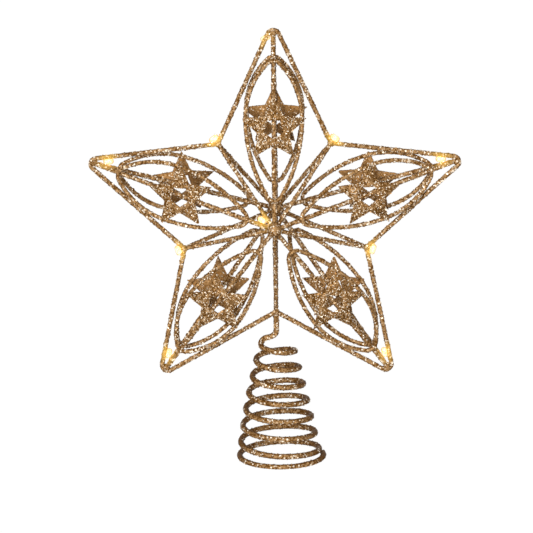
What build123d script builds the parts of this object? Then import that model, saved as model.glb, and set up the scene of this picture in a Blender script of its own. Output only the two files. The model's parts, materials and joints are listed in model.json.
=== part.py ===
from build123d import *
import math
import os

# Tree-topper star: a double-sided five-point wire star on a conical coil spring.
# Millimetres. The origin is on the surface the coil stands on, on the coil's axis. +Z is up and
# the star's front face looks along -Y.

# Driving dimensions: the star's wire frame
tip_radius = 110.0          # star axis to the outermost point of a rim wire's centreline
valley_radius = 54.7        # star axis to the centreline where two rims meet
hub_depth = 26.0            # mid-plane to the point where the wires of one face meet
tip_bend = 3.4              # centreline radius of the bend at each tip
rim_wire = 2.4              # wire diameters, with their coating
ridge_wire = 2.4
spoke_wire = 2.2
petal_wire = 2.2

# Driving dimensions: the welds
hub_weld_cover = 0.7        # how far a hub's weld ball reaches past the point where its wires part
hub_weld_set = 1.6          # weld ball's centre, in from the point where the wires meet
tip_weld_cover = 1.0        # weld's reach past the ridge wire's surface
tip_weld_set = 1.6          # weld's centre, in from the end of the tip
valley_weld_cover = 0.7     # weld's reach past the rim wire's surface
weld_sink = 0.25            # how far a wire beds into the wire that it is welded across

# Driving dimensions: the leaf-shaped petals and the stamped stars on them
petal_tip_gap = 17.5        # along the ridge, from the tip to the petal's outer end
petal_hub_gap = 16.5        # along the ridge, from the hub to the petal's inner end
petal_half_width = 16.0     # ridge to the wire's centreline at the widest place
petal_belly_share = 0.59    # place of the widest point, as a share of the petal's length from its inner end
petal_outer_nose = 5.0      # centreline radius at the outer end
petal_inner_nose = 4.5      # centreline radius at the inner end
star_overhang = 2.5         # how far a stamped star's side tips reach past the petal's centreline
star_notch_radius = 9.2     # star's centre to the notches between its arms
star_web = 3.2              # sheet left between the notches and the corners of the five-sided hole
star_tip_round = 0.7        # corner radius of the stamped tips
star_sheet = 0.8            # thickness, with its coating
star_sink = 0.2             # how far the sheet beds onto the petal's wire

# Driving dimensions: the lamp beads
lamp_diameter = 3.0
lamp_length = 5.5
lamp_end_flat = 0.2         # radius of the flat left on a bead's rounded ends
lamp_seat = 0.2             # how far a bead beds onto the wires that carry it
tip_lamp_gap = 7.0          # along the rim, from the end of the tip's bend to the bead's middle
back_lamp_gap = 3.5         # the same for the top point's bead, which lies across the back of its rim
back_lamp_turn = 30.0       # degrees from the rim to that bead

# Driving dimensions: the stem and the coil
coil_wire = 3.0             # wire diameter, with its coating
coil_top_radius = 9.6       # centreline radii
coil_base_radius = 24.2
coil_flare = 1.21           # over 1, the coil widens faster near its top
coil_drift = 2.25           # how far the last turn has drifted off the axis, to the viewer's right
coil_drift_power = 4        # how late the drift sets in
coil_height = 68.3          # standing surface to the start of the top turn
coil_pitch = 9.8            # fall of the wire in one turn
coil_gap = 0.5              # least gap between the wire's end and the turn above it
coil_landing = 2.0          # height in which the wire levels out onto its last turn
coil_lead = 35.0            # degrees past the left side at which the crank becomes the coil
crank_run = 5.2             # axis to the middle of the crank
crank_rise = 3.4            # middle of the crank above the start of the top turn
crank_fall = 8.0            # degrees that the crank slopes down at its middle
stem_foot_rise = 7.5        # stem's foot above the start of the top turn
stem_length = 11.2          # stem's foot to the middle of the bottom valley
foot_flat = 0.5             # depth of the flat under the last turn

# Layout of a five-point star
points = 5
half_step = 180 / points
upright = 90                # polar place of the top point, where pieces that repeat are modelled
arm_names = ["top", "right", "lower_right", "lower_left", "left"]
valley_names = ["upper_right", "lower_right", "bottom", "lower_left", "upper_left"]
arms = {name: upright - 2 * half_step * index for index, name in enumerate(arm_names)}
valleys = {name: arms[arm] - half_step for name, arm in zip(valley_names, arm_names)}
tip_lamp_sides = {"right": 1, "lower_right": 1, "lower_left": -1, "left": -1}
lamp_valleys = ["upper_right", "lower_right", "lower_left", "upper_left"]

# Worked out from the driving dimensions
stem_foot = coil_height + stem_foot_rise
star_height = stem_foot + stem_length + valley_radius
hub_weld_radius = (ridge_wire + spoke_wire) / 4 / math.sin(math.radians(half_step / 2)) + hub_weld_cover
tip_weld_radius = ridge_wire / 2 + tip_weld_cover
valley_weld_radius = rim_wire / 2 + valley_weld_cover
tip_weld_reach = tip_radius - tip_weld_set
petal_lift = (ridge_wire + petal_wire) / 2 - weld_sink
star_lift = petal_lift + petal_wire / 2 - star_sink
lamp_round = lamp_diameter / 2 - lamp_end_flat

os.makedirs("parts", exist_ok=True)


def star_point(radius, degrees, depth=0.0):
    """A point at a polar place on the star, with its depth in front of the mid-plane."""
    turn = math.radians(degrees)
    return Vector(radius * math.cos(turn), -depth, star_height + radius * math.sin(turn))


def outward(degrees):
    """The direction from the star's axis towards a polar place on the star."""
    return Vector(math.cos(math.radians(degrees)), 0, math.sin(math.radians(degrees)))


star_axis = Axis((0, 0, star_height), (0, -1, 0))
star_plane = Plane(origin=(0, 0, star_height), x_dir=outward(upright), z_dir=(0, -1, 0))


def turned(part, degrees):
    """A copy of an upright piece, turned about the star's axis to a polar place."""
    return part.rotate(star_axis, degrees - upright)


def save(builder, name):
    """Label a finished piece and write it to its own file."""
    builder.part.label = name
    export_step(builder.part, f"parts/{name}.step")


def save_on_both_faces(master, places, kind):
    """Write a copy of a front piece for each place on the front, and its mirror image on the back."""
    for place, degrees in places.items():
        with BuildPart() as front:
            add(turned(master.part, degrees))
        save(front, f"{place}_front_{kind}")
        with BuildPart() as back:
            mirror(front.part, about=Plane.XZ)
        save(back, f"{place}_back_{kind}")


# Rims: a V-bent wire for each point, from valley to tip to valley
valley_along = valley_radius * math.cos(math.radians(half_step))
valley_across = valley_radius * math.sin(math.radians(half_step))
bend_centre = tip_radius - tip_bend
leg_span = math.hypot(valley_along - bend_centre, valley_across)
leg_normal = math.atan2(valley_across, valley_along - bend_centre) - math.acos(tip_bend / leg_span)
bend_along = bend_centre + tip_bend * math.cos(leg_normal)
bend_across = tip_bend * math.sin(leg_normal)

with BuildPart() as rim:
    with BuildLine(star_plane) as rim_path:
        Line((valley_along, valley_across), (bend_along, bend_across))
        ThreePointArc((bend_along, bend_across), (tip_radius, 0), (bend_along, -bend_across))
        Line((bend_along, -bend_across), (valley_along, -valley_across))
    with BuildSketch(Plane(origin=rim_path.line @ 0, z_dir=rim_path.line % 0)):
        Circle(rim_wire / 2)
    sweep()
    for turn in (-half_step, half_step):
        with Locations(star_point(valley_radius, upright + turn)):
            Sphere(valley_weld_radius, mode=Mode.SUBTRACT)

for arm, degrees in arms.items():
    with BuildPart() as arm_rim:
        add(turned(rim.part, degrees))
    save(arm_rim, f"{arm}_point_rim")

# Hub welds: a ball on each face where the ridges and spokes meet
hub_weld_centre = star_point(0, upright, hub_depth - hub_weld_set)
with BuildPart() as front_hub_weld:
    with Locations(hub_weld_centre):
        Sphere(hub_weld_radius)
save(front_hub_weld, "front_hub_weld")
with BuildPart() as back_hub_weld:
    mirror(front_hub_weld.part, about=Plane.XZ)
save(back_hub_weld, "back_hub_weld")

# Valley welds: a bead at each valley, which the rims and spokes butt against
with BuildPart() as valley_welds:
    with Locations([star_point(valley_radius, degrees) for degrees in valleys.values()]):
        Sphere(valley_weld_radius)
save(valley_welds, "valley_welds")

# Tip welds: a bead in each tip's bend, which the ridges butt against
tip_weld_centre = star_point(tip_weld_reach, upright)
with BuildPart() as tip_weld:
    with Locations(tip_weld_centre):
        Sphere(tip_weld_radius)
    add(rim.part, mode=Mode.SUBTRACT)
with BuildPart() as tip_welds:
    for degrees in arms.values():
        add(turned(tip_weld.part, degrees))
save(tip_welds, "tip_welds")

# Ridges and spokes: straight wires from the hubs to the tips and to the valleys.
# The front and back ones meet on the mid-plane, where each is trimmed to its own side.
hub = star_point(0, upright, hub_depth)
valley_centre = star_point(valley_radius, upright)

with BuildPart() as ridge:
    with BuildSketch(Plane(origin=hub, z_dir=tip_weld_centre - hub)):
        Circle(ridge_wire / 2)
    extrude(amount=(tip_weld_centre - hub).length)
    split(bisect_by=Plane.XZ, keep=Keep.TOP)
    with Locations(tip_weld_centre):
        Sphere(tip_weld_radius, mode=Mode.SUBTRACT)
    add(front_hub_weld.part, mode=Mode.SUBTRACT)
save_on_both_faces(ridge, arms, "ridge")

with BuildPart() as spoke:
    with BuildSketch(Plane(origin=hub, z_dir=valley_centre - hub)):
        Circle(spoke_wire / 2)
    extrude(amount=(valley_centre - hub).length)
    split(bisect_by=Plane.XZ, keep=Keep.TOP)
    with Locations(valley_centre):
        Sphere(valley_weld_radius, mode=Mode.SUBTRACT)
    add(front_hub_weld.part, mode=Mode.SUBTRACT)
save_on_both_faces(spoke, valleys, "spoke")

# Petals: a leaf-shaped loop of six tangent arcs, welded across each ridge at its two ends
ridge_heading = (tip_weld_centre - hub).normalized()
across = Vector(0, -1, 0).cross(outward(upright))
ridge_plane = Plane(origin=hub, x_dir=ridge_heading, z_dir=ridge_heading.cross(across))
petal_length = (tip_weld_centre - hub).length + tip_weld_set - petal_tip_gap - petal_hub_gap
belly_along = petal_hub_gap + petal_belly_share * petal_length
outer_reach = petal_hub_gap + petal_length - belly_along
inner_reach = belly_along - petal_hub_gap


def side_radius(reach, nose):
    """The radius of a side arc that runs from the widest point to a nose arc at a given reach."""
    return ((reach - nose) ** 2 / (petal_half_width - nose) + petal_half_width + nose) / 2


outer_side = side_radius(outer_reach, petal_outer_nose)
inner_side = side_radius(inner_reach, petal_inner_nose)
outer_turn = math.degrees(math.atan2(outer_side - petal_half_width, outer_reach - petal_outer_nose))
inner_turn = math.degrees(math.atan2(inner_side - petal_half_width, inner_reach - petal_inner_nose))
outer_nose_along = petal_hub_gap + petal_length - petal_outer_nose
inner_nose_along = petal_hub_gap + petal_inner_nose

with BuildPart() as petal:
    with BuildLine(ridge_plane.offset(petal_lift)) as leaf:
        CenterArc((belly_along, petal_half_width - outer_side), outer_side, outer_turn, 90 - outer_turn)
        CenterArc((belly_along, petal_half_width - inner_side), inner_side, 90, 90 - inner_turn)
        CenterArc((inner_nose_along, 0), petal_inner_nose, 180 - inner_turn, 2 * inner_turn)
        CenterArc((belly_along, inner_side - petal_half_width), inner_side, 180 + inner_turn, 90 - inner_turn)
        CenterArc((belly_along, outer_side - petal_half_width), outer_side, 270, 90 - outer_turn)
        CenterArc((outer_nose_along, 0), petal_outer_nose, -outer_turn, 2 * outer_turn)
    with BuildSketch(Plane(origin=leaf.line @ 0, z_dir=leaf.line % 0)):
        Circle(petal_wire / 2)
    sweep()
    add(ridge.part, mode=Mode.SUBTRACT)
save_on_both_faces(petal, arms, "petal")

# Stamped stars: a five-point sheet star with a five-sided hole, welded onto each petal's sides
star_radius = (petal_half_width + star_overhang) / math.cos(math.radians(half_step / 2))
star_centre = ridge_plane.from_local_coords(
    Vector(belly_along - star_radius * math.sin(math.radians(half_step / 2)), 0, star_lift))
sheet_plane = Plane(origin=star_centre, x_dir=ridge_plane.x_dir, z_dir=ridge_plane.z_dir)
star_outline = []
for corner in range(2 * points):
    corner_radius = star_notch_radius if corner % 2 else star_radius
    corner_turn = math.radians(corner * half_step)
    star_outline.append((corner_radius * math.cos(corner_turn), corner_radius * math.sin(corner_turn)))

with BuildPart() as star:
    with BuildSketch(sheet_plane) as star_sketch:
        Polygon(*star_outline, align=None)
        fillet(star_sketch.vertices().sort_by_distance(star_centre)[-points:], star_tip_round)
        RegularPolygon(star_notch_radius - star_web, points, rotation=half_step, mode=Mode.SUBTRACT)
    extrude(amount=star_sheet)
    add(petal.part, mode=Mode.SUBTRACT)
save_on_both_faces(star, arms, "star")

# Lamp beads: rounded drops that bed onto the wires beside them
lamp_offset = (rim_wire + lamp_diameter) / 2 - lamp_seat
lamp_half_straight = lamp_length / 2 - lamp_round

# Tip lamps lie along the inside of one of the tip's two legs, and at the top across the back of one
leg = Vector(-math.sin(leg_normal), math.cos(leg_normal), 0)
leg_inward = Vector(-math.cos(leg_normal), -math.sin(leg_normal), 0)
tip_lamp_centre = Vector(bend_along, bend_across, 0) + leg * tip_lamp_gap + leg_inward * lamp_offset
tip_lamp_end = star_plane.from_local_coords(tip_lamp_centre + leg)
tip_lamp_middle = star_plane.from_local_coords(tip_lamp_centre)
with BuildPart() as tip_lamp:
    with Locations(Plane(origin=tip_lamp_middle, z_dir=tip_lamp_end - tip_lamp_middle)):
        Cylinder(lamp_diameter / 2, lamp_length)
    fillet(tip_lamp.edges().filter_by(GeomType.CIRCLE), lamp_round)
    add(rim.part, mode=Mode.SUBTRACT)
with BuildPart() as tip_lamp_other_leg:
    mirror(tip_lamp.part, about=Plane.YZ)
back_lamp_centre = Vector(bend_along, bend_across, -lamp_offset) + leg * back_lamp_gap
back_lamp_middle = star_plane.from_local_coords(back_lamp_centre)
back_lamp_heading = (tip_lamp_end - tip_lamp_middle).rotate(Axis.Y, back_lamp_turn)
with BuildPart() as top_lamp:
    with Locations(Plane(origin=back_lamp_middle, z_dir=back_lamp_heading)):
        Cylinder(lamp_diameter / 2, lamp_length)
    fillet(top_lamp.edges().filter_by(GeomType.CIRCLE), lamp_round)
    add(rim.part, mode=Mode.SUBTRACT)
with BuildPart() as tip_lamps:
    add(top_lamp.part)
    for arm, side in tip_lamp_sides.items():
        lamp = tip_lamp if side > 0 else tip_lamp_other_leg
        add(turned(lamp.part, arms[arm]))
save(tip_lamps, "tip_lamps")

# Valley lamps lie across the mouth of a valley, on its two rims
valley_opening = math.pi / 2 + math.radians(half_step) - leg_normal
valley_lamp_rise = (lamp_offset + lamp_half_straight * math.cos(valley_opening)) / math.sin(valley_opening)
with BuildPart() as valley_lamp:
    with Locations(Plane(origin=star_point(valley_radius + valley_lamp_rise, upright), z_dir=across)):
        Cylinder(lamp_diameter / 2, lamp_length)
    fillet(valley_lamp.edges().filter_by(GeomType.CIRCLE), lamp_round)
    for turn in (-half_step, half_step):
        add(turned(rim.part, upright + turn), mode=Mode.SUBTRACT)
    with Locations(valley_centre):
        Sphere(valley_weld_radius, mode=Mode.SUBTRACT)
with BuildPart() as valley_lamps:
    for valley in lamp_valleys:
        add(turned(valley_lamp.part, valleys[valley]))
save(valley_lamps, "valley_lamps")

# The hub lamp is wedged between a ridge and a spoke where they run together at the front hub
left_ridge = turned(ridge.part, arms["left"])
upper_left_spoke = turned(spoke.part, valleys["upper_left"])
left_heading = (star_point(tip_weld_reach, arms["left"]) - hub).normalized()
upper_left_heading = (star_point(valley_radius, valleys["upper_left"]) - hub).normalized()
wedge_heading = (left_heading + upper_left_heading).normalized()
wedge_angle = math.radians(left_heading.get_angle(wedge_heading))
wedge_gap = (ridge_wire + spoke_wire) / 4 + lamp_diameter / 2 - lamp_seat
hub_lamp_reach = wedge_gap / math.sin(wedge_angle) + lamp_half_straight
with BuildPart() as hub_lamp:
    with Locations(Plane(origin=hub + wedge_heading * hub_lamp_reach, z_dir=wedge_heading)):
        Cylinder(lamp_diameter / 2, lamp_length)
    fillet(hub_lamp.edges().filter_by(GeomType.CIRCLE), lamp_round)
    add(left_ridge, mode=Mode.SUBTRACT)
    add(upper_left_spoke, mode=Mode.SUBTRACT)
save(hub_lamp, "hub_lamp")

# Stem: the straight wire from the coil's crank up to the bottom valley
with BuildPart() as stem:
    with BuildSketch(Plane.XY.offset(stem_foot)):
        Circle(coil_wire / 2)
    extrude(amount=stem_length)
    with Locations(star_point(valley_radius, valleys["bottom"])):
        Sphere(valley_weld_radius, mode=Mode.SUBTRACT)
    for arm in ("lower_right", "lower_left"):
        add(turned(rim.part, arms[arm]), mode=Mode.SUBTRACT)
save(stem, "stem")

# Coil: a left-handed conical helix that lands on a flat last turn
foot_height = coil_wire / 2 - foot_flat
landing_turn = (coil_height - foot_height) / coil_pitch
end_rise = 2 * math.sqrt(coil_landing * (coil_wire + coil_gap)) - coil_landing
last_turn = landing_turn + 1 - end_rise / coil_pitch
first_turn = coil_lead / 360


def coil_point(turn):
    """A point of the coil's centreline, by turns from the left side of the top turn."""
    angle = math.pi + 2 * math.pi * turn
    spread = 1 - max(0.0, 1 - turn / last_turn) ** coil_flare
    radius = coil_top_radius + (coil_base_radius - coil_top_radius) * spread
    drift = coil_drift * (turn / last_turn) ** coil_drift_power
    rise = coil_pitch * (landing_turn - turn)
    levelling = min(max(rise, -coil_landing), coil_landing) + coil_landing
    height = foot_height + max(rise - coil_landing, 0) + levelling ** 2 / (4 * coil_landing)
    return Vector(radius * math.cos(angle) + drift, radius * math.sin(angle), height)


def coil_heading(turn):
    """The direction of the coil's centreline, downwards."""
    step = 0.001
    return (coil_point(turn + step) - coil_point(turn - step)).normalized()


def biarc_join(start, start_heading, end, end_heading):
    """The point and the heading at which the two arcs of a biarc meet."""
    chord = end - start
    pull = chord.dot(start_heading + end_heading)
    bend = 2 * (1 - start_heading.dot(end_heading))
    reach = (math.sqrt(pull ** 2 + bend * chord.dot(chord)) - pull) / bend
    first = start + start_heading * reach
    last = end - end_heading * reach
    return (first + last) * 0.5, (last - first).normalized()


half_turns = math.ceil((last_turn - first_turn) * 2)
crank_middle = Vector(-crank_run, 0, coil_height + crank_rise)
crank_heading = Vector(-1, 0, -math.tan(math.radians(crank_fall))).normalized()
stations = [(Vector(0, 0, stem_foot), Vector(0, 0, -1)), (crank_middle, crank_heading)]
for index in range(half_turns + 1):
    turn = first_turn + (last_turn - first_turn) * index / half_turns
    stations.append((coil_point(turn), coil_heading(turn)))

with BuildPart() as coil_spring:
    with BuildLine() as coil_path:
        for (start, start_heading), (end, end_heading) in zip(stations, stations[1:]):
            join, join_heading = biarc_join(start, start_heading, end, end_heading)
            TangentArc(start, join, tangent=start_heading)
            TangentArc(join, end, tangent=join_heading)
    with BuildSketch(Plane(origin=coil_path.line @ 0, z_dir=coil_path.line % 0)):
        Circle(coil_wire / 2)
    sweep()
    split(bisect_by=Plane.XY, keep=Keep.TOP)
save(coil_spring, "coil_spring")

# The coil's least gap to itself, measured on points along its centreline
sample_step = 1.0
centreline = coil_path.wire()
path_length = centreline.length
sample_count = int(path_length / sample_step)
samples = [centreline @ (index / sample_count) for index in range(sample_count)]
apart = round(4 * coil_wire / sample_step)
least = min((near - far).length for index, near in enumerate(samples) for far in samples[index + apart:])
print(f"coil: {last_turn - first_turn:.2f} turns, {path_length:.0f} mm of wire")
print(f"coil's least gap to itself: {least - coil_wire:.2f} mm")
print(f"tightest bend of the coil: {min(arc.radius for arc in coil_path.edges()):.1f} mm")
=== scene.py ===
import json
import math

import bpy
from mathutils import Matrix, Vector

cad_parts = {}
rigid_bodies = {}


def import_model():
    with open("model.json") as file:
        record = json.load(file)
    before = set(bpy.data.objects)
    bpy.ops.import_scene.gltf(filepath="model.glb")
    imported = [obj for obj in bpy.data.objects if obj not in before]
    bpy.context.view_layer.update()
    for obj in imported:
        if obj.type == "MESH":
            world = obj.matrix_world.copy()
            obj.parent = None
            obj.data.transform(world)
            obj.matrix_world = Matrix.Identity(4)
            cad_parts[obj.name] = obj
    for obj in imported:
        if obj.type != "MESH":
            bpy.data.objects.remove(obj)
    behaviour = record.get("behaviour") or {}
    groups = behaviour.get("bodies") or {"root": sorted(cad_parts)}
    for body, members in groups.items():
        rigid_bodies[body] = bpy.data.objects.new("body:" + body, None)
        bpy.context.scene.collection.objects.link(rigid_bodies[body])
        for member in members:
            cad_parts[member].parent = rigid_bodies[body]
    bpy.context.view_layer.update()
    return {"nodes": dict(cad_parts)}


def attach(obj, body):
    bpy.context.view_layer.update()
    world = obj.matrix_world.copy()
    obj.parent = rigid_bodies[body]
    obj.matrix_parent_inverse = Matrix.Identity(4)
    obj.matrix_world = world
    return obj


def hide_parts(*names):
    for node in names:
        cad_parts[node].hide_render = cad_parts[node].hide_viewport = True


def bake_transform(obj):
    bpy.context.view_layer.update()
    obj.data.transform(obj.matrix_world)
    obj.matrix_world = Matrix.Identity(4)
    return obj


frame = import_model()

bl_info = {
    "name": "Tree-Topper Star",
    "version": (1, 0, 0),
    "blender": (4, 5, 0),
    "location": "3D View > Sidebar > Topper",
    "description": "Dresses a wire tree-topper star in glitter, with lit lamp drops and a coil spring",
    "category": "Object",
}

MM = 0.001
MERGE_DISTANCE = 0.001 * MM
WHITE = (1, 1, 1)
BLACK = (0, 0, 0)

ARMS = ("top", "right", "lower_right", "lower_left", "left")
VALLEYS = ("upper_right", "lower_right", "bottom", "lower_left", "upper_left")
FACES = ("front", "back")
WELD_NODES = ("front_hub_weld", "back_hub_weld", "tip_welds", "valley_welds")
LAMP_NODES = ("tip_lamps", "valley_lamps", "hub_lamp")

# First seed of each group of pieces, so that no two pieces have their flakes in the same places.
FRAME_SEED = 0
WELD_SEED = 100
STAR_SEED = 200
STEM_SEED = 300
COIL_SEED = 301

# Mesh attributes that the coat leaves for its material: nearness to a lamp drop, for the painted lamp
# light, and each flake's random shade, for its painted glint or shade.
LIT_SHARE = "lamp_glow"
FLAKE_SHADE = "flake_shade"

# Sockets that are picked by number, because others on the same node share their names.
MIX_SHARE, MIX_FIRST, MIX_SECOND, MIX_COLOUR = 0, 6, 7, 2
RANDOM_LEAST, RANDOM_MOST, RANDOM_NUMBER = 2, 3, 1

# The coat's shape. Flake sizes are shares of the average, and shades run from dark to pale, from painted
# shade to painted glints.
NOISE_MIDDLE = 0.5
LUMP_DETAIL = 1.0
GRAIN_DETAIL = 2.0
INWARD_LIMIT = 0.5
FLAKE_CORNERS = 6
FLAKE_SIZES = (0.65, 1.25)
FLAKE_SHADES = (0.05, 1.0)
FLAKES_TRIED = 2
GLOW_FALL = 2

# The glitter's finish. A surface with a shade under the limit is ground, and not a flake.
FLAKE_LIMIT = 0.01
SHADE_MIDDLE = 0.5
# Places of the dark, brown, gold and pale tints on the shade scale; pale and gold flakes are painted
# glints, dark ones painted shade.
SHADE_STOPS = (0.10, 0.36, 0.56, 0.70, 0.86)
GLITTER_ROUGHNESS = 0.3
GLITTER_ROUGHNESS_SPREAD = 0.3
GLITTER_METALLIC = 0.15
GLITTER_SPECULAR = 0.03
LACQUER_CLOUDS = 0.9
# Painted lamp light on the glitter beside the drops: the share of the lamp tint, and the glow that a dark
# flake still gets.
PAINTED_LAMP_TINT_SHARE = 0.8
GLOW_ON_DARK = 0.4

# The drops' finish.
CLOUD_DETAIL = 2.0
CORE_CLOUD = 1.25 * MM
CORE_STOPS = (0.35, 0.7)
CORE_ROUGHNESS = 0.5
RESIN_CLOUD = 2 * MM
RESIN_STOPS = (0.3, 0.75)
RESIN_ROUGHNESS = 0.04
RESIN_ROUGHNESS_SPREAD = 0.08
DROP_SMOOTHING = {"factor": 0.5, "iterations": 6}

# The stage. Floor and light are in metres, and the film's width is in millimetres.
FLOOR_SIZE = 24
LIGHT_DISTANCE = 2
FILM_WIDTH = 36


def length(name, description, millimetres):
    """A size setting, given in millimetres and kept in metres."""
    return bpy.props.FloatProperty(
        name=name, description=description, default=millimetres * MM, unit="LENGTH", precision=5)


def colour(name, description, default):
    """A colour setting."""
    return bpy.props.FloatVectorProperty(
        name=name, description=description, default=default, subtype="COLOR", size=3, min=0, max=1)


def share(name, description, default):
    """A setting between nought and one."""
    return bpy.props.FloatProperty(
        name=name, description=description, default=default, subtype="FACTOR", min=0, max=1)


def number(name, description, default):
    """A plain number setting."""
    return bpy.props.FloatProperty(name=name, description=description, default=default)


def angle(name, description, degrees):
    """An angle setting, given in degrees."""
    return bpy.props.FloatProperty(
        name=name, description=description, default=math.radians(degrees), subtype="ANGLE")


class TOPPER_PG_glitter(bpy.types.PropertyGroup):
    """Sizes and colours of the glitter coat, with the flakes' painted glints and shade and the glue's
    painted side shade
    """
    coat_mesh: length("Coat mesh", "Edge length of the mesh that the coat is shaped on", 0.45)
    lump_length: length("Lump length", "Length of the glue's thick and thin places", 3.2)
    lump_height: length("Lump height", "How far a thick place stands out", 0.20)
    coil_lumps: share("Coil lumps", "Height of the coil's lumps and grain, as a share of the star's", 0.60)
    wire_swell: length("Wire swell", "How far the glue stands out on the star's wires", 0.10)
    coil_swell: length("Coil swell", "How far the glue stands out on the coil", 0.14)
    grain_length: length("Grain length", "Length of the fine grain between the flakes", 0.9)
    grain_height: length("Grain height", "How far the fine grain stands out", 0.14)
    flake_width: length("Flake width", "Width of an average flake across its corners", 1.20)
    flake_spacing: length("Flake spacing", "Least distance between two flakes' middles", 0.92)
    flake_lift: length("Flake lift", "How far a flake's middle stands off the glue", 0.05)
    flake_tilt: angle("Flake tilt", "Largest tilt of a flake off the surface", 26)
    sheet_flakes: share("Sheet flakes", "Size of the stamped stars' flakes, as a share of the rest", 0.64)
    inner_cover: share("Inner cover", "Share of the flakes on the inner side of the stamped stars", 0.50)
    stem_cover: share("Stem cover", "Share of the flakes on the stem", 0.80)
    coil_cover: share("Coil cover", "Share of the flakes on the coil", 0.85)
    # Pale and gold flakes are painted glints and dark flakes painted shade; each flake's shade is picked
    # at random, not from its tilt or the light.
    dark: colour("Dark flakes", "Flakes turned away from the light", (0.135, 0.057, 0.010))
    brown: colour("Brown flakes", "Most of the flakes", (0.385, 0.222, 0.094))
    gold: colour("Gold flakes", "Flakes half turned to the light", (0.62, 0.442, 0.268))
    pale: colour("Pale flakes", "Flakes that catch the light", (0.87, 0.758, 0.605))
    bare: colour("Bare sheet", "Lacquer between the flakes inside the stamped stars", (0.33, 0.155, 0.042))
    wire_contrast: number("Wire contrast", "Spread of the flakes' shades on the star's wires", 1.25)
    sheet_contrast: number("Sheet contrast", "Spread of the flakes' shades on the stamped stars", 1.25)
    coil_contrast: number("Coil contrast", "Spread of the flakes' shades on the coil", 1.3)
    wire_level: share("Wire level", "Middle of the flakes' shades on the star's wires", 0.53)
    sheet_level: share("Sheet level", "Middle of the flakes' shades on the stamped stars", 0.43)
    coil_level: share("Coil level", "Middle of the flakes' shades on the coil", 0.53)
    star_ground: share("Star ground", "Lightest shade of the ground between the star's flakes", 0.58)
    coil_ground: share("Coil ground", "Lightest shade of the ground between the coil's flakes", 0.58)
    # The side shares thin out the flakes on the sides, and also paint the glue darker there as shade.
    wire_side_cover_and_shade: share("Wire sides", "Glitter on the sides of the star's wires, to the rest", 0.75)
    coil_side_cover_and_shade: share("Coil sides", "Glitter on the sides of the coil, to the rest", 0.30)
    wire_unrest: share("Wire unrest", "How far the ground's grains lean on the star", 0.50)
    coil_unrest: share("Coil unrest", "How far the ground's grains lean on the coil", 0.25)


class TOPPER_PG_lamps(bpy.types.PropertyGroup):
    """Light and colours of the lamp drops, and the lamp light painted on the glitter beside them"""
    core: colour("Core", "Light of the core", (1.0, 0.88, 0.52))
    strength: number("Strength", "Strength of the core's light", 1.05)
    core_share: share("Core share", "Size of the lit core, as a share of its drop", 0.70)
    resin: colour("Resin", "Tint of the clear resin round the core", (0.98, 0.60, 0.20))
    resin_bend: number("Resin bend", "Refractive index of the resin", 1.15)
    # Painted lamp light: the glitter beside a drop is given a glow and a tint that stand for the drop's
    # light, and these set how far they reach.
    glow: colour("Glow", "Light on the glitter beside a drop", (0.60, 0.36, 0.06))
    painted_lamp_tint: colour("Amber", "Colour that the glitter takes on beside a drop", (0.62, 0.38, 0.07))
    glow_reach: length("Glow reach", "How far a drop lights the glitter", 6.0)
    drop_mesh: length("Drop mesh", "Edge length of a drop's mesh", 0.2)
    drop_swell: length("Drop swell", "How far the resin stands out round a drop", 0.35)


class TOPPER_PG_stage(bpy.types.PropertyGroup):
    """Camera, floor and lights"""
    star_height: length("Star height", "Middle of the star above the floor", 141.7)
    distance: length("Distance", "Camera to the middle of the star", 2500)
    elevation: angle("Elevation", "Camera above the star's middle", 14.0)
    yaw: angle("Yaw", "Camera to the right of straight in front", 0.96)
    roll: angle("Roll", "Camera's tilt about its line of sight", -0.61)
    lens: number("Lens", "Focal length on a 36 mm wide film", 295.75)
    aim_left: angle("Aim left", "Line of sight to the left of the star's middle", 0.1136)
    aim_down: angle("Aim down", "Line of sight under the star's middle", 0.62)
    paper: colour("Paper", "Paper's share of the daylight, as it is seen", (0.10, 0.10, 0.10))
    bounce: colour("Bounce", "Light that the paper sends back to the topper", (0.45, 0.45, 0.45))
    floor_light: share("Floor light", "White of the paper before any light falls on it", 0.965)
    sky: number("Sky", "Strength of the light from all round", 0.22)
    key_strength: number("Key strength", "Strength of the soft light from in front", 3.5)
    key_turn: angle("Key turn", "Soft light to the left of straight in front", 7)
    key_rise: angle("Key rise", "Soft light above the floor", 15)
    key_softness: angle("Key softness", "How wide the light from in front looks from the star", 20)
    back_strength: number("Back strength", "Strength of the soft light from behind", 2.6)
    back_rise: angle("Back rise", "Soft light from behind above the floor", 3)
    back_softness: angle("Back softness", "How wide the light from behind looks from the star", 4)


class Value:
    """A node's output, which Python expressions can use as a number."""

    def __init__(self, graph, output):
        self.graph = graph
        self.output = output

    def other(self, name):
        """Another output of the same node."""
        return Value(self.graph, self.output.node.outputs[name])

    def _maths(self, operation, first, second):
        return self.graph.node("ShaderNodeMath", {"operation": operation}, {0: first, 1: second})

    def __add__(self, other):
        return self._maths("ADD", self, other)

    def __radd__(self, other):
        return self._maths("ADD", other, self)

    def __sub__(self, other):
        return self._maths("SUBTRACT", self, other)

    def __rsub__(self, other):
        return self._maths("SUBTRACT", other, self)

    def __mul__(self, other):
        return self._maths("MULTIPLY", self, other)

    def __rmul__(self, other):
        return self._maths("MULTIPLY", other, self)

    def __truediv__(self, other):
        return self._maths("DIVIDE", self, other)

    def __rtruediv__(self, other):
        return self._maths("DIVIDE", other, self)

    def __pow__(self, other):
        return self._maths("POWER", self, other)

    def __gt__(self, other):
        return self._maths("GREATER_THAN", self, other)

    def __or__(self, other):
        return self._maths("MAXIMUM", self, other)

    def __abs__(self):
        return self._maths("ABSOLUTE", self, 0)

    def limited(self):
        """The value, kept between nought and one."""
        return self.graph.node("ShaderNodeClamp", {}, {"Value": self})


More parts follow.
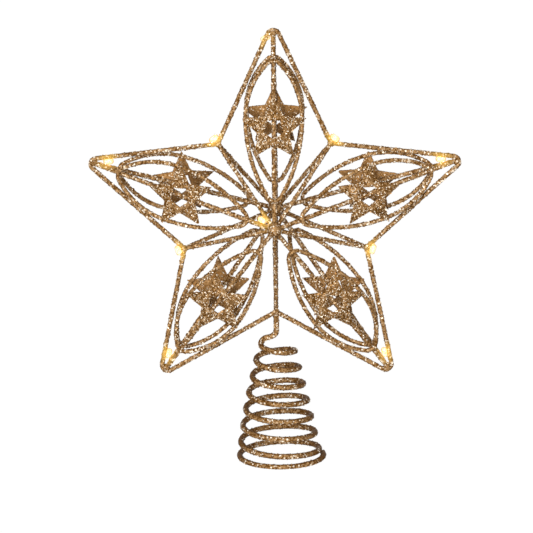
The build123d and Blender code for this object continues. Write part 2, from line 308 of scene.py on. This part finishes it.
class Graph:
    """A node tree that is written as Python expressions."""

    def __init__(self, tree):
        tree.nodes.clear()
        self.tree = tree

    def node(self, kind, settings, inputs, output=0):
        """A new node, with its settings, and values or links for its sockets."""
        node = self.tree.nodes.new(kind)
        for name, setting in settings.items():
            if name == "stops":
                self._set_stops(node.color_ramp, setting)
            else:
                setattr(node, name, setting)
        for name, value in inputs.items():
            for single in value if isinstance(value, list) else [value]:
                if isinstance(single, Value):
                    self.tree.links.new(single.output, node.inputs[name])
                else:
                    node.inputs[name].default_value = single
        return Value(self, node.outputs[output]) if node.outputs else node

    @staticmethod
    def _set_stops(ramp, stops):
        while len(ramp.elements) > 1:
            ramp.elements.remove(ramp.elements[-1])
        for index, (place, tint) in enumerate(stops):
            element = ramp.elements[0] if index == 0 else ramp.elements.new(place)
            element.position = place
            element.color = opaque(tint)


def opaque(tint):
    """A plain colour, as a colour socket takes it."""
    return (*tint, 1)


def along(graph, vector, factor):
    """A vector times a number."""
    return graph.node("ShaderNodeVectorMath", {"operation": "SCALE"}, {0: vector, "Scale": factor})


def one_axis(graph, vector, axis):
    """A vector's length along one axis."""
    return graph.node("ShaderNodeSeparateXYZ", {}, {0: vector}, axis)


def noise(graph, place, size, detail):
    """Soft noise of a size, between nought and one."""
    return graph.node("ShaderNodeTexNoise", {}, {"Vector": place, "Scale": 1 / size, "Detail": detail})


def swing(pattern, height):
    """A noise that swings by a height to either side of nought."""
    return (pattern - NOISE_MIDDLE) * 2 * height


def random_number(graph, limits, inputs):
    """A random number between two limits, one for each element."""
    least, most = limits
    return graph.node("FunctionNodeRandomValue", {"data_type": "FLOAT"}, {
        RANDOM_LEAST: least, RANDOM_MOST: most, **inputs}, RANDOM_NUMBER)


def stored(graph, geometry, domain, name, value):
    """A geometry with a number stored on its points or faces."""
    return graph.node("GeometryNodeStoreNamedAttribute", {"data_type": "FLOAT", "domain": domain}, {
        "Geometry": geometry, "Name": name, "Value": value})


def looks_inwards(graph, place, facing):
    """One where a surface looks towards the star's mid-plane, and nought elsewhere."""
    side = graph.node("ShaderNodeMath", {"operation": "SIGN"}, {0: one_axis(graph, place, "Y")})
    return (0 - side * facing) > INWARD_LIMIT


def mixed(graph, factor, first, second):
    """A first colour with a share of a second one mixed in."""
    return graph.node("ShaderNodeMix", {"data_type": "RGBA"}, {
        MIX_SHARE: factor, MIX_FIRST: first, MIX_SECOND: second}, MIX_COLOUR)


def ramp(graph, factor, places, tints):
    """Colours that run into each other, each at its own place between nought and one."""
    return graph.node("ShaderNodeValToRGB", {"stops": zip(places, tints)}, {"Fac": factor}, "Color")


def seen_plainly(graph):
    """One for what the camera, a shine or a clear drop shows, and nought for light that only bounces."""
    ray = graph.node("ShaderNodeLightPath", {}, {}, "Is Camera Ray")
    return ray | ray.other("Is Glossy Ray") | ray.other("Is Transmission Ray")


def material_graph(name):
    """The empty graph of a new material."""
    material = bpy.data.materials.new(name)
    material.use_nodes = True
    return Graph(material.node_tree)


def deselect_all():
    """Deselect everything, because an operator acts on all that is selected."""
    bpy.ops.object.select_all(action="DESELECT")


def copy_of_node(node, name):
    """A loose copy of a CAD node, with its triangles joined up."""
    deselect_all()
    source = frame["nodes"][node]
    source.select_set(True)
    bpy.context.view_layer.objects.active = source
    bpy.ops.object.duplicate()
    piece = bpy.context.active_object
    bpy.ops.object.parent_clear(type="CLEAR_KEEP_TRANSFORM")
    for key in list(piece.keys()):
        del piece[key]
    piece.name = name
    piece.data.name = name
    piece.data.materials.clear()
    bpy.ops.object.mode_set(mode="EDIT")
    bpy.ops.mesh.select_all(action="SELECT")
    bpy.ops.mesh.remove_doubles(threshold=MERGE_DISTANCE)
    bpy.ops.object.mode_set(mode="OBJECT")
    return piece


def apply_modifier(piece, kind, settings, inputs=()):
    """Add a modifier to the active piece, set it and apply it."""
    modifier = piece.modifiers.new(kind.title(), kind)
    for name, setting in settings.items():
        setattr(modifier, name, setting)
    for name, value in inputs:
        modifier[modifier.node_group.interface.items_tree[name].identifier] = value
    bpy.ops.object.modifier_apply(modifier=modifier.name)


def cut_flake(settings):
    """A six-sided flake of the average width, modelled flat at the origin."""
    deselect_all()
    bpy.ops.mesh.primitive_circle_add(
        vertices=FLAKE_CORNERS, radius=settings.flake_width / 2, fill_type="NGON")
    flake = bpy.context.active_object
    flake.name = "glitter_flake"
    return flake


def glitter_coat_tree(settings, flake, lamp_nodes, glow_reach):
    """The node group that lumps a wire's surface, strews flakes with random shades on it and marks how
    near each point is to a lamp drop, for the painted lamp light.
    """
    tree = bpy.data.node_groups.new("Glitter coat", "GeometryNodeTree")
    tree.interface.new_socket("Geometry", in_out="INPUT", socket_type="NodeSocketGeometry")
    tree.interface.new_socket("Seed", in_out="INPUT", socket_type="NodeSocketInt")
    for amount in ("Lumps", "Swell", "Cover", "Side cover", "Inner cover", "Flake size"):
        tree.interface.new_socket(amount, in_out="INPUT", socket_type="NodeSocketFloat")
    tree.interface.new_socket("Coated", in_out="OUTPUT", socket_type="NodeSocketGeometry")
    graph = Graph(tree)
    wire = graph.node("NodeGroupInput", {}, {}, "Geometry")
    seed = wire.other("Seed")
    place = graph.node("GeometryNodeInputPosition", {}, {})
    normal = graph.node("GeometryNodeInputNormal", {}, {})

    lumps = swing(noise(graph, place, settings.lump_length, LUMP_DETAIL), settings.lump_height)
    grain = swing(noise(graph, place, settings.grain_length, GRAIN_DETAIL), settings.grain_height)
    swell = (lumps + grain) * wire.other("Lumps") + wire.other("Swell")
    lumped = graph.node("GeometryNodeSetPosition", {}, {
        "Geometry": wire, "Offset": along(graph, normal, swell)})

    facing = one_axis(graph, normal, "Y")
    inward = looks_inwards(graph, place, facing)
    cover = wire.other("Cover") * (1 - inward) + wire.other("Inner cover") * inward
    cover = cover * (wire.other("Side cover") * (1 - abs(facing)) + abs(facing))
    spacing = wire.other("Flake size") * settings.flake_spacing
    strewn = graph.node("GeometryNodeDistributePointsOnFaces", {"distribute_method": "POISSON"}, {
        "Mesh": lumped, "Distance Min": spacing, "Density Max": FLAKES_TRIED / spacing ** 2,
        "Density Factor": cover, "Seed": seed}, "Points")
    raised = graph.node("GeometryNodeSetPosition", {}, {
        "Geometry": strewn, "Offset": along(graph, strewn.other("Normal"), settings.flake_lift)})

    tilt = settings.flake_tilt
    tip = graph.node("FunctionNodeRandomValue", {"data_type": "FLOAT_VECTOR"}, {
        0: (-tilt, -tilt, -math.pi), 1: (tilt, tilt, math.pi), "Seed": seed})
    tipped = graph.node("FunctionNodeRotateRotation", {"rotation_space": "LOCAL"}, {
        "Rotation": strewn.other("Rotation"),
        "Rotate By": graph.node("FunctionNodeEulerToRotation", {}, {0: tip})})
    size = random_number(graph, FLAKE_SIZES, {"Seed": seed + 1})
    pattern = graph.node("GeometryNodeObjectInfo", {}, {"Object": flake}, "Geometry")
    placed = graph.node("GeometryNodeInstanceOnPoints", {}, {
        "Points": raised, "Instance": pattern, "Rotation": tipped,
        "Scale": size * wire.other("Flake size")})
    flakes = graph.node("GeometryNodeRealizeInstances", {}, {"Geometry": placed})
    island = graph.node("GeometryNodeInputMeshIsland", {}, {})
    # Each flake's random shade, which the material paints as a glint when pale and as shade when dark.
    shade = random_number(graph, FLAKE_SHADES, {"ID": island, "Seed": seed + 2})
    shaded = stored(graph, flakes, "FACE", FLAKE_SHADE, shade)
    coated = graph.node("GeometryNodeJoinGeometry", {}, {0: [lumped, shaded]})

    # Nothing hangs under the floor that the coil stands on.
    across = one_axis(graph, place, "X")
    on_floor = graph.node("ShaderNodeCombineXYZ", {}, {
        "X": across, "Y": across.other("Y"), "Z": across.other("Z") | 0})
    standing = graph.node("GeometryNodeSetPosition", {}, {"Geometry": coated, "Position": on_floor})

    # The lamp drops' nearness, which the material turns into painted lamp light: a tint and a glow on the
    # glitter.
    drops = [graph.node("GeometryNodeObjectInfo", {}, {"Object": lamp}, "Geometry") for lamp in lamp_nodes]
    lit = graph.node("GeometryNodeJoinGeometry", {}, {0: drops})
    distance = graph.node("GeometryNodeProximity", {"target_element": "FACES"}, {0: lit}, "Distance")
    near = (1 - distance / glow_reach).limited()
    marked = stored(graph, standing, "POINT", LIT_SHARE, near ** GLOW_FALL)
    graph.node("NodeGroupOutput", {}, {"Coated": marked})


def glitter_material(name, settings, lamps, contrast, level, unrest, ground, sides, bare_inside=False):
    """Gold flakes on a grainy ground of glue, with lacquer for ground on inner sides where asked. Pale and
    dark flakes are painted glints and shade, the glue is painted darker on the sides as shade, and glitter
    near a drop gets a painted lamp tint and glow.
    """
    graph = material_graph(name)
    place = graph.node("ShaderNodeTexCoord", {}, {}, "Object")
    grains = graph.node("ShaderNodeTexVoronoi", {}, {
        "Vector": place, "Scale": 1 / settings.grain_length}, "Color")
    chance = graph.node("ShaderNodeSeparateColor", {}, {"Color": grains}, "Red")
    flake = graph.node("ShaderNodeAttribute", {"attribute_name": FLAKE_SHADE}, {}, "Fac")
    is_flake = flake > FLAKE_LIMIT
    surface = graph.node("ShaderNodeNewGeometry", {}, {}, "Normal")
    facing = one_axis(graph, surface, "Y")
    # Painted shade: the glue is darker where the surface faces sideways than where it faces front or back,
    # as if lit from in front and behind.
    glue = chance * ground * (sides + (1 - sides) * abs(facing))
    shade = flake * is_flake + glue * (1 - is_flake)
    shade = (shade - SHADE_MIDDLE) * contrast + level
    # The ramp paints glints on pale flakes and shade on dark ones, and gives the glue its own random tone.
    tint = ramp(graph, shade, SHADE_STOPS, (
        settings.dark, settings.brown, settings.brown, settings.gold, settings.pale))
    if bare_inside:
        bare = looks_inwards(graph, place, facing) * (1 - is_flake)
        lacquer = mixed(graph, chance * LACQUER_CLOUDS, opaque(settings.bare), opaque(settings.brown))
        tint = mixed(graph, bare, tint, lacquer)

    spread = graph.node("ShaderNodeVectorMath", {"operation": "SUBTRACT"}, {
        0: grains, 1: (NOISE_MIDDLE, NOISE_MIDDLE, NOISE_MIDDLE)})
    leaning = graph.node("ShaderNodeVectorMath", {"operation": "ADD"}, {
        0: surface, 1: along(graph, spread, unrest * (1 - is_flake))})
    turned = graph.node("ShaderNodeVectorMath", {"operation": "NORMALIZE"}, {0: leaning})

    # Painted lamp light: glitter near a drop is tinted towards the lamp colour and given a glow, more on
    # paler flakes, though the glitter is no lamp.
    near = graph.node("ShaderNodeAttribute", {"attribute_name": LIT_SHARE}, {}, "Fac")
    tint = mixed(graph, (near * PAINTED_LAMP_TINT_SHARE).limited(), tint, opaque(lamps.painted_lamp_tint))
    lit = (near * (GLOW_ON_DARK + (1 - GLOW_ON_DARK) * shade)).limited()
    shader = graph.node("ShaderNodeBsdfPrincipled", {}, {
        "Base Color": tint,
        "Roughness": GLITTER_ROUGHNESS + GLITTER_ROUGHNESS_SPREAD * chance.other("Green"),
        "Metallic": GLITTER_METALLIC,
        "Specular IOR Level": GLITTER_SPECULAR,
        "Normal": turned,
        "Emission Color": mixed(graph, lit, opaque(BLACK), opaque(lamps.glow)),
        "Emission Strength": 1.0})
    graph.node("ShaderNodeOutputMaterial", {}, {"Surface": shader})


def core_material(settings):
    """The lit core of a drop, a little cloudy."""
    graph = material_graph("Lit core")
    place = graph.node("ShaderNodeTexCoord", {}, {}, "Object")
    cloud = noise(graph, place, CORE_CLOUD, CLOUD_DETAIL)
    light = ramp(graph, cloud, CORE_STOPS, (settings.core, WHITE))
    shader = graph.node("ShaderNodeBsdfPrincipled", {}, {
        "Base Color": light, "Roughness": CORE_ROUGHNESS,
        "Emission Color": light, "Emission Strength": settings.strength})
    graph.node("ShaderNodeOutputMaterial", {}, {"Surface": shader})


def resin_material(settings):
    """Clear warm resin with a slightly uneven skin."""
    graph = material_graph("Clear resin")
    place = graph.node("ShaderNodeTexCoord", {}, {}, "Object")
    cloud = noise(graph, place, RESIN_CLOUD, CLOUD_DETAIL)
    half_white = [(1 + channel) / 2 for channel in settings.resin]
    shader = graph.node("ShaderNodeBsdfPrincipled", {}, {
        "Base Color": ramp(graph, cloud, RESIN_STOPS, (settings.resin, half_white)),
        "Roughness": RESIN_ROUGHNESS + RESIN_ROUGHNESS_SPREAD * cloud,
        "IOR": settings.resin_bend, "Transmission Weight": 1.0})
    graph.node("ShaderNodeOutputMaterial", {}, {"Surface": shader})


def core_tree(settings):
    """The node group that draws each drop in towards its own middle."""
    tree = bpy.data.node_groups.new("Drop core", "GeometryNodeTree")
    tree.interface.new_socket("Geometry", in_out="INPUT", socket_type="NodeSocketGeometry")
    tree.interface.new_socket("Core", in_out="OUTPUT", socket_type="NodeSocketGeometry")
    graph = Graph(tree)
    drops = graph.node("NodeGroupInput", {}, {}, "Geometry")
    place = graph.node("GeometryNodeInputPosition", {}, {})
    island = graph.node("GeometryNodeInputMeshIsland", {}, {})
    total = graph.node("GeometryNodeAccumulateField", {"data_type": "FLOAT_VECTOR"}, {
        "Value": place, "Group ID": island}, "Total")
    count = graph.node("GeometryNodeAccumulateField", {"data_type": "FLOAT"}, {
        "Value": 1.0, "Group ID": island}, "Total")
    middle = along(graph, total, 1 / count)
    inwards = graph.node("ShaderNodeVectorMath", {"operation": "SUBTRACT"}, {0: middle, 1: place})
    drawn = graph.node("GeometryNodeSetPosition", {}, {
        "Geometry": drops, "Offset": along(graph, inwards, 1 - settings.core_share)})
    graph.node("NodeGroupOutput", {}, {"Core": drawn})
    return tree


def coat_of(node, seed, lumps=1.0, swell=None, cover=1.0, side_cover=1.0, inner_cover=None,
            flake_size=1.0, meshed=True):
    """A glittered copy of a node."""
    settings = bpy.context.scene.topper_glitter
    piece = copy_of_node(node, f"{node}_coat")
    if meshed:
        apply_modifier(piece, "REMESH", {"mode": "VOXEL", "voxel_size": settings.coat_mesh})
    apply_modifier(piece, "NODES", {"node_group": bpy.data.node_groups["Glitter coat"]}, (
        ("Seed", seed),
        ("Lumps", lumps),
        ("Swell", settings.wire_swell if swell is None else swell),
        ("Cover", cover),
        ("Side cover", side_cover),
        ("Inner cover", cover if inner_cover is None else inner_cover),
        ("Flake size", flake_size)))
    bpy.ops.object.shade_smooth()
    return piece


def dress(piece, node, material):
    """Give a finished piece its material and put it in its node's place."""
    piece.data.materials.clear()
    piece.data.materials.append(bpy.data.materials[material])
    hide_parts(node)


def direction(turn, rise):
    """The way out from the star, turned to the left of straight in front and raised off the floor."""
    level = math.cos(rise)
    return Vector((-math.sin(turn) * level, -math.cos(turn) * level, math.sin(rise)))


class TOPPER_OT_mix_glitter(bpy.types.Operator):
    """Cut the flake, and mix the glitter coat and its materials"""
    bl_idname = "topper.mix_glitter"
    bl_label = "Mix the glitter"

    def execute(self, context):
        settings = context.scene.topper_glitter
        lamps = context.scene.topper_lamps
        lamp_nodes = [frame["nodes"][node] for node in LAMP_NODES]
        glitter_coat_tree(settings, cut_flake(settings), lamp_nodes, lamps.glow_reach)
        star_ground = {
            "unrest": settings.wire_unrest, "ground": settings.star_ground, "sides": settings.wire_side_cover_and_shade}
        coil_ground = {
            "unrest": settings.coil_unrest, "ground": settings.coil_ground, "sides": settings.coil_side_cover_and_shade}
        glitter_material("Glittered wire", settings, lamps, settings.wire_contrast, settings.wire_level,
                         **star_ground)
        glitter_material("Glittered sheet", settings, lamps, settings.sheet_contrast, settings.sheet_level,
                         **star_ground, bare_inside=True)
        glitter_material("Glittered coil", settings, lamps, settings.coil_contrast, settings.coil_level,
                         **coil_ground)
        return {"FINISHED"}


class TOPPER_OT_coat_frame(bpy.types.Operator):
    """Coat the rims, ridges, spokes and petals"""
    bl_idname = "topper.coat_frame"
    bl_label = "Coat the wire frame"

    def execute(self, context):
        nodes = [f"{arm}_point_rim" for arm in ARMS]
        nodes += [f"{arm}_{face}_{wire}" for wire in ("ridge", "petal") for arm in ARMS for face in FACES]
        nodes += [f"{valley}_{face}_spoke" for valley in VALLEYS for face in FACES]
        for seed, node in enumerate(nodes, FRAME_SEED):
            piece = coat_of(node, seed, side_cover=context.scene.topper_glitter.wire_side_cover_and_shade)
            dress(piece, node, "Glittered wire")
            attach(piece, "star")
        return {"FINISHED"}


class TOPPER_OT_coat_welds(bpy.types.Operator):
    """Coat the welds at the hubs, tips and valleys"""
    bl_idname = "topper.coat_welds"
    bl_label = "Coat the welds"

    def execute(self, context):
        for seed, node in enumerate(WELD_NODES, WELD_SEED):
            piece = coat_of(node, seed)
            dress(piece, node, "Glittered wire")
            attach(piece, "star")
        return {"FINISHED"}


class TOPPER_OT_coat_stars(bpy.types.Operator):
    """Coat the stamped stars, with finer flakes, and fewer on their inner sides"""
    bl_idname = "topper.coat_stars"
    bl_label = "Coat the stamped stars"

    def execute(self, context):
        settings = context.scene.topper_glitter
        nodes = [f"{arm}_{face}_star" for arm in ARMS for face in FACES]
        for seed, node in enumerate(nodes, STAR_SEED):
            piece = coat_of(node, seed, lumps=0.0, swell=0.0, inner_cover=settings.inner_cover,
                            flake_size=settings.sheet_flakes, meshed=False)
            dress(piece, node, "Glittered sheet")
            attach(piece, "star")
        return {"FINISHED"}


class TOPPER_OT_coat_coil(bpy.types.Operator):
    """Coat the stem and the coil, which stretches between the floor and the star"""
    bl_idname = "topper.coat_coil"
    bl_label = "Coat the coil"

    def execute(self, context):
        settings = context.scene.topper_glitter
        stem = coat_of("stem", STEM_SEED, cover=settings.stem_cover)
        dress(stem, "stem", "Glittered coil")
        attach(stem, "star")
        coil = coat_of("coil_spring", COIL_SEED, lumps=settings.coil_lumps, swell=settings.coil_swell,
                       cover=settings.coil_cover, side_cover=settings.coil_side_cover_and_shade)
        dress(coil, "coil_spring", "Glittered coil")
        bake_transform(coil)
        return {"FINISHED"}


class TOPPER_OT_light_lamps(bpy.types.Operator):
    """Round off and light the lamp drops"""
    bl_idname = "topper.light_lamps"
    bl_label = "Light the lamps"

    def execute(self, context):
        settings = context.scene.topper_lamps
        resin_material(settings)
        core_material(settings)
        drawn_in = core_tree(settings)
        for node in LAMP_NODES:
            cores = self.rounded_drops(node, f"{node}_cores", settings)
            apply_modifier(cores, "NODES", {"node_group": drawn_in})
            cores.data.materials.append(bpy.data.materials["Lit core"])
            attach(cores, "star")
            drops = self.rounded_drops(node, f"{node}_resin", settings)
            dress(drops, node, "Clear resin")
            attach(drops, "star")
        return {"FINISHED"}

    def rounded_drops(self, node, name, settings):
        """A smooth copy of a node's drops, a little swollen."""
        piece = copy_of_node(node, name)
        apply_modifier(piece, "REMESH", {"mode": "VOXEL", "voxel_size": settings.drop_mesh})
        apply_modifier(piece, "SMOOTH", DROP_SMOOTHING)
        apply_modifier(piece, "DISPLACE", {"strength": settings.drop_swell, "mid_level": 0})
        bpy.ops.object.shade_smooth()
        return piece


class TOPPER_OT_set_stage(bpy.types.Operator):
    """Lay the floor, hang the lights and place the camera"""
    bl_idname = "topper.set_stage"
    bl_label = "Set the stage"

    def execute(self, context):
        settings = context.scene.topper_stage
        context.scene.view_settings.view_transform = "Standard"
        self.lay_floor(settings)
        self.light_world(context, settings)
        self.hang_light("key_light", settings.key_turn, settings.key_rise, settings.key_strength,
                        settings.key_softness)
        self.hang_light("back_light", math.pi, settings.back_rise, settings.back_strength,
                        settings.back_softness, glossy=False)
        self.place_camera(context, settings)
        return {"FINISHED"}

    def lay_floor(self, settings):
        """A wide sheet of white paper, which keeps a little of the shadow."""
        deselect_all()
        bpy.ops.mesh.primitive_plane_add(size=FLOOR_SIZE)
        floor = bpy.context.active_object
        floor.name = "floor"
        graph = material_graph("White paper")
        seen = seen_plainly(graph)
        tint = mixed(graph, seen, opaque(settings.bounce), opaque(settings.paper))
        paper = graph.node("ShaderNodeBsdfDiffuse", {}, {"Color": tint})
        white = graph.node("ShaderNodeEmission", {}, {
            "Color": opaque(WHITE), "Strength": seen * settings.floor_light})
        both = graph.node("ShaderNodeAddShader", {}, {0: paper, 1: white})
        graph.node("ShaderNodeOutputMaterial", {}, {"Surface": both})
        floor.data.materials.append(bpy.data.materials["White paper"])

    def light_world(self, context, settings):
        """Even light from all round, white to look at."""
        world = bpy.data.worlds.new("White room")
        world.use_nodes = True
        graph = Graph(world.node_tree)
        room = graph.node("ShaderNodeBackground", {}, {
            "Color": opaque(WHITE), "Strength": settings.sky + (1 - settings.sky) * seen_plainly(graph)})
        graph.node("ShaderNodeOutputWorld", {}, {"Surface": room})
        context.scene.world = world

    def hang_light(self, name, turn, rise, strength, softness, glossy=True):
        """A soft, far light, turned to the left of straight in front and raised off the floor."""
        source = direction(turn, rise)
        deselect_all()
        bpy.ops.object.light_add(type="SUN", location=source * LIGHT_DISTANCE)
        light = bpy.context.active_object
        light.name = name
        light.data.energy = strength
        light.data.angle = softness
        light.visible_glossy = glossy
        light.rotation_euler = source.to_track_quat("Z", "Y").to_euler()

    def place_camera(self, context, settings):
        """The photograph's viewpoint, a little above and in front."""
        yaw, roll = settings.yaw, settings.roll
        back = direction(-yaw, settings.elevation)
        right = Vector((math.cos(yaw), math.sin(yaw), 0))
        up = back.cross(right)
        tilted_right = right * math.cos(roll) + up * math.sin(roll)
        tilted_up = up * math.cos(roll) - right * math.sin(roll)
        turn = Matrix((tilted_right, tilted_up, back)).transposed()
        turn = turn @ Matrix.Rotation(-settings.aim_down, 3, "X")
        turn = turn @ Matrix.Rotation(settings.aim_left, 3, "Y")
        star_middle = Vector((0, 0, settings.star_height))
        deselect_all()
        bpy.ops.object.camera_add(location=star_middle + back * settings.distance)
        camera = bpy.context.active_object
        camera.rotation_euler = turn.to_euler()
        camera.data.sensor_width = FILM_WIDTH
        camera.data.lens = settings.lens
        context.scene.camera = camera


OPERATORS = (
    TOPPER_OT_mix_glitter, TOPPER_OT_coat_frame, TOPPER_OT_coat_welds, TOPPER_OT_coat_stars,
    TOPPER_OT_coat_coil, TOPPER_OT_light_lamps, TOPPER_OT_set_stage)


class TOPPER_PT_sidebar(bpy.types.Panel):
    """The topper's settings and steps"""
    bl_idname = "TOPPER_PT_sidebar"
    bl_label = "Tree-Topper Star"
    bl_space_type = "VIEW_3D"
    bl_region_type = "UI"
    bl_category = "Topper"

    def draw(self, context):
        scene = context.scene
        for settings in (scene.topper_glitter, scene.topper_lamps, scene.topper_stage):
            box = self.layout.box()
            for name in settings.__annotations__:
                box.prop(settings, name)
        for operator in OPERATORS:
            self.layout.operator(operator.bl_idname)


CLASSES = (TOPPER_PG_glitter, TOPPER_PG_lamps, TOPPER_PG_stage, *OPERATORS, TOPPER_PT_sidebar)


def register():
    """Register the classes and hang the settings on the scene."""
    for item in CLASSES:
        bpy.utils.register_class(item)
    bpy.types.Scene.topper_glitter = bpy.props.PointerProperty(type=TOPPER_PG_glitter)
    bpy.types.Scene.topper_lamps = bpy.props.PointerProperty(type=TOPPER_PG_lamps)
    bpy.types.Scene.topper_stage = bpy.props.PointerProperty(type=TOPPER_PG_stage)


def unregister():
    """Take the settings off the scene and unregister the classes."""
    del bpy.types.Scene.topper_stage
    del bpy.types.Scene.topper_lamps
    del bpy.types.Scene.topper_glitter
    for item in reversed(CLASSES):
        bpy.utils.unregister_class(item)


def main():
    """Run the steps in order."""
    register()
    bpy.ops.topper.mix_glitter()
    bpy.ops.topper.coat_frame()
    bpy.ops.topper.coat_welds()
    bpy.ops.topper.coat_stars()
    bpy.ops.topper.coat_coil()
    bpy.ops.topper.light_lamps()
    # The flake was a pattern for its copies, and is no piece of the topper.
    bpy.data.objects.remove(bpy.data.objects["glitter_flake"])
    bpy.ops.topper.set_stage()


if __name__ == "__main__":
    main()
